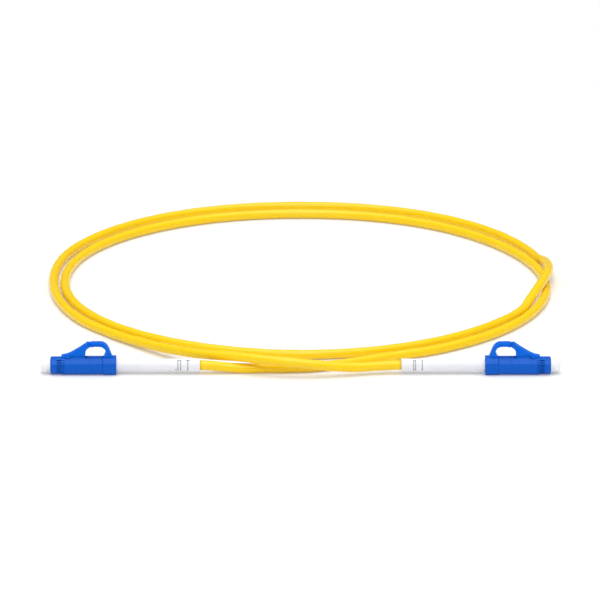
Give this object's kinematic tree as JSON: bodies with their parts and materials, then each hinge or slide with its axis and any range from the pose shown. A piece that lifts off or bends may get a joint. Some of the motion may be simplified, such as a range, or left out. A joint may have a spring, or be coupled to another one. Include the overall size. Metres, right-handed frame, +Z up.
{
  "type": "fiber optic patch cord",
  "caption": "Simplex fiber patch cord: a yellow jacketed cable in two loops between two blue latched plugs with white boots and dust caps.",
  "frame": {"origin": "on the surface the cord lies on, midway between the two plugs, below their common axis", "axes": "+X towards the right plug's nose, +Y from the plugs towards the loops, +Z up"},
  "size_m": [0.1608, 0.1777, 0.0101],
  "materials": {
    "yellow_pvc": "satin PVC jacket",
    "blue_abs": "moulded, semi-gloss",
    "white_pvc": "moulded, soft satin",
    "white_polyethylene": "moulded, satin",
    "zirconia": "polished ceramic",
    "nickel_plated": "bright plated",
    "spring_steel": "drawn wire",
    "brass": "turned",
    "aramid": "yarn",
    "buffer": "satin",
    "glass": "clear"
  },
  "bodies": {
    "plugs_and_cable": {"cable_lead_left": "yellow_pvc", "cable_coil": "yellow_pvc", "cable_lead_right": "yellow_pvc", "left_front_housing": "blue_abs", "left_rear_housing": "blue_abs", "left_collar": "blue_abs", "left_boot": "white_pvc", "left_spring": "spring_steel", "left_crimp_body": "brass", "left_aramid_yarn": "aramid", "left_crimp_sleeve": "nickel_plated", "left_buffered_fiber": "buffer", "left_cable_end": "yellow_pvc", "right_front_housing": "blue_abs", "right_rear_housing": "blue_abs", "right_collar": "blue_abs", "right_boot": "white_pvc", "right_spring": "spring_steel", "right_crimp_body": "brass", "right_aramid_yarn": "aramid", "right_crimp_sleeve": "nickel_plated", "right_buffered_fiber": "buffer", "right_cable_end": "yellow_pvc"},
    "left_cap": {"left_dust_cap": "white_polyethylene"},
    "left_latch_arm": {"left_latch": "blue_abs"},
    "left_trigger_arm": {"left_trigger": "blue_abs"},
    "left_ferrule_group": {"left_ferrule": "zirconia", "left_ferrule_holder": "nickel_plated", "left_glass_fiber": "glass"},
    "right_cap": {"right_dust_cap": "white_polyethylene"},
    "right_latch_arm": {"right_latch": "blue_abs"},
    "right_trigger_arm": {"right_trigger": "blue_abs"},
    "right_ferrule_group": {"right_ferrule": "zirconia", "right_ferrule_holder": "nickel_plated", "right_glass_fiber": "glass"}
  },
  "joints": [
    {"name": "left_trigger_press", "type": "hinge", "parent": "plugs_and_cable", "child": "left_trigger_arm", "pos_m": [-0.059, 0, 0.0055], "axis": [0, -1, 0], "range_deg": [0, 3], "stiffness_Nm_per_rad": 0.02},
    {"name": "left_latch_flex", "type": "hinge", "parent": "plugs_and_cable", "child": "left_latch_arm", "pos_m": [-0.0724, 0, 0.00525], "axis": [0, 1, 0], "range_deg": [0, 6.01], "stiffness_Nm_per_rad": 0.02},
    {"name": "left_ferrule_slide", "type": "slide", "parent": "plugs_and_cable", "child": "left_ferrule_group", "axis": [1, 0, 0], "range_m": [0, 0.001], "stiffness_N_per_m": 1000, "deforming": ["left_spring"]},
    {"name": "left_cap_pull", "type": "slide", "parent": "plugs_and_cable", "child": "left_cap", "axis": [-1, 0, 0], "range_m": [0, 0.008]},
    {"name": "right_trigger_press", "type": "hinge", "parent": "plugs_and_cable", "child": "right_trigger_arm", "pos_m": [0.059, 0, 0.0055], "axis": [0, 1, 0], "range_deg": [0, 3], "stiffness_Nm_per_rad": 0.02},
    {"name": "right_latch_flex", "type": "hinge", "parent": "plugs_and_cable", "child": "right_latch_arm", "pos_m": [0.0724, 0, 0.00525], "axis": [0, -1, 0], "range_deg": [0, 6.01], "stiffness_Nm_per_rad": 0.02},
    {"name": "right_ferrule_slide", "type": "slide", "parent": "plugs_and_cable", "child": "right_ferrule_group", "axis": [-1, 0, 0], "range_m": [0, 0.001], "stiffness_N_per_m": 1000, "deforming": ["right_spring"]},
    {"name": "right_cap_pull", "type": "slide", "parent": "plugs_and_cable", "child": "right_cap", "axis": [1, 0, 0], "range_m": [0, 0.008]}
  ],
  "couplings": [
    {"joint": "left_latch_flex", "follows": "left_trigger_press", "ratio": 2},
    {"joint": "right_latch_flex", "follows": "right_trigger_press", "ratio": 2}
  ]
}
